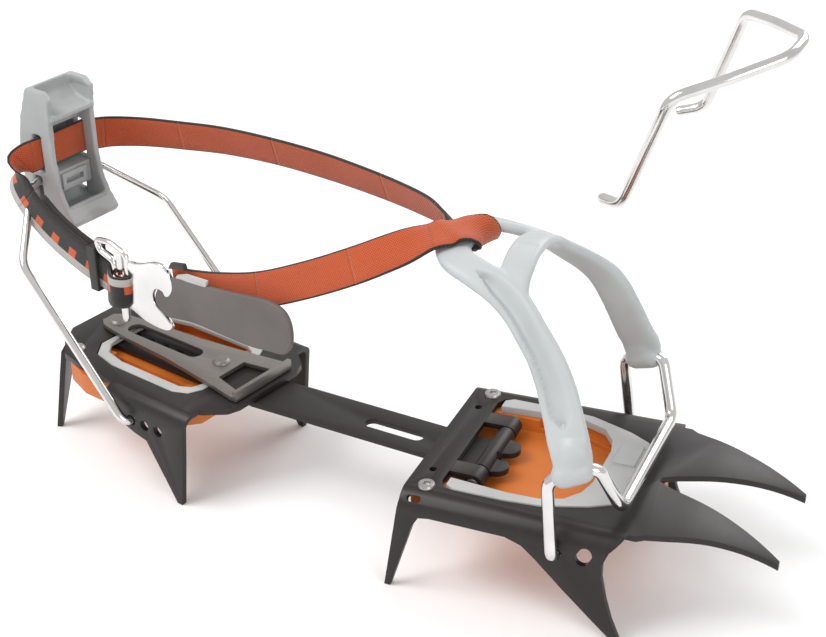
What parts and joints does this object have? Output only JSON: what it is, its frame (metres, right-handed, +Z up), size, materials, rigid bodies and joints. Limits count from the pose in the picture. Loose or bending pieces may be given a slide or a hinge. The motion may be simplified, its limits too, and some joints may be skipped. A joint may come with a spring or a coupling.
{
  "type": "crampon",
  "caption": "Right-foot mountaineering crampon: folded steel front and heel sections on a sliding link bar, lever heel bail, flexible toe bail, ankle strap and a spare wire toe bail.",
  "frame": {"origin": "boot side of the front plate, in the middle of its rear crossbar", "axes": "+X along the front section to the toe, +Y to the left, +Z up; the points reach down to z = -46 mm"},
  "size_m": [0.3603, 0.2399, 0.1882],
  "materials": {
    "steel": "dark anthracite coating, satin",
    "orange": "matte moulded",
    "grey_soft": "matte moulded",
    "screw_steel": "satin",
    "pin_steel": "satin",
    "lock_steel": "fine brushed, satin",
    "wire_steel": "polished stainless",
    "lever_grey": "matte moulded",
    "bail_grey": "smooth matte moulded",
    "webbing_orange": "woven",
    "webbing_black": "woven",
    "tab_rubber": "matte"
  },
  "bodies": {
    "front": {"front_frame": "steel", "front_antisnow_core": "orange", "front_antisnow_rim": "grey_soft", "front_screws": "screw_steel", "link_pin": "pin_steel", "strap_far": "webbing_orange", "strap_near": "webbing_orange", "strap_tab": "tab_rubber"},
    "bar": {"link_bar": "steel"},
    "heel": {"heel_frame": "steel", "heel_antisnow_core": "orange", "heel_antisnow_rim": "grey_soft", "heel_rivets": "screw_steel", "bar_guide": "steel", "strap_ankle_near": "webbing_black", "strap_keeper": "tab_rubber", "buckle_pin": "wire_steel"},
    "lock": {"lock_lever": "lock_steel", "lock_pivot_rivet": "lock_steel", "lock_peg": "lock_steel"},
    "heel_bail": {"heel_wire": "wire_steel"},
    "slider": {"height_slider": "lever_grey"},
    "lever": {"heel_lever": "lever_grey", "lever_insert": "lever_grey", "strap_lever_pass": "webbing_orange"},
    "buckle": {"buckle_plate": "wire_steel"},
    "toe_bail": {"flex_bail": "bail_grey", "toe_wire": "wire_steel", "strap_toe_loop": "webbing_orange"},
    "spare": {"spare_toe_bail": "wire_steel"}
  },
  "joints": [
    {"name": "bar_tilt", "type": "hinge", "parent": "front", "child": "bar", "pos_m": [0.017, 0, -0.004], "axis": [0, -1, 0], "range_deg": [0, 8], "deforming": ["strap_keeper"]},
    {"name": "length_slide", "type": "slide", "parent": "bar", "child": "heel", "axis": [0.9627, -0.2706, 0], "range_m": [-0.0276, 0.0092], "deforming": ["strap_ankle_near", "strap_far", "strap_near", "strap_tab"]},
    {"name": "lock_lift", "type": "hinge", "parent": "heel", "child": "lock", "pos_m": [-0.18671, 0.03477, 0.0015], "axis": [-0.2706, -0.9627, 0], "range_deg": [0, 12], "stiffness_Nm_per_rad": 0.3, "springref_deg": -5.73},
    {"name": "heel_bail_swing", "type": "hinge", "parent": "heel", "child": "heel_bail", "pos_m": [-0.13318, 0.01973, -0.0125], "axis": [0.2706, 0.9627, 0], "range_deg": [-35, 40], "deforming": ["strap_lever_pass"]},
    {"name": "lever_swing", "type": "hinge", "parent": "heel_bail", "child": "slider", "pos_m": [-0.20644, 0.04032, 0.071], "axis": [-0.2706, -0.9627, 0], "range_deg": [-10, 100]},
    {"name": "height_adjust", "type": "slide", "parent": "slider", "child": "lever", "axis": [0, 0, 1], "range_m": [0, 0.007]},
    {"name": "buckle_swing", "type": "hinge", "parent": "heel", "child": "buckle", "pos_m": [-0.1506, -0.00343, 0.046], "axis": [0, 0, -1], "range_deg": [0, 35]},
    {"name": "toe_bail_swing", "type": "hinge", "parent": "front", "child": "toe_bail", "pos_m": [0.0595, 0, -0.0105], "axis": [0, 1, 0], "range_deg": [-45, 6], "deforming": ["strap_toe_loop"]},
    {"name": "spare_set_down", "type": "slide", "parent": "front", "child": "spare", "axis": [0, 0, -1], "range_m": [0, 0.105]}
  ]
}
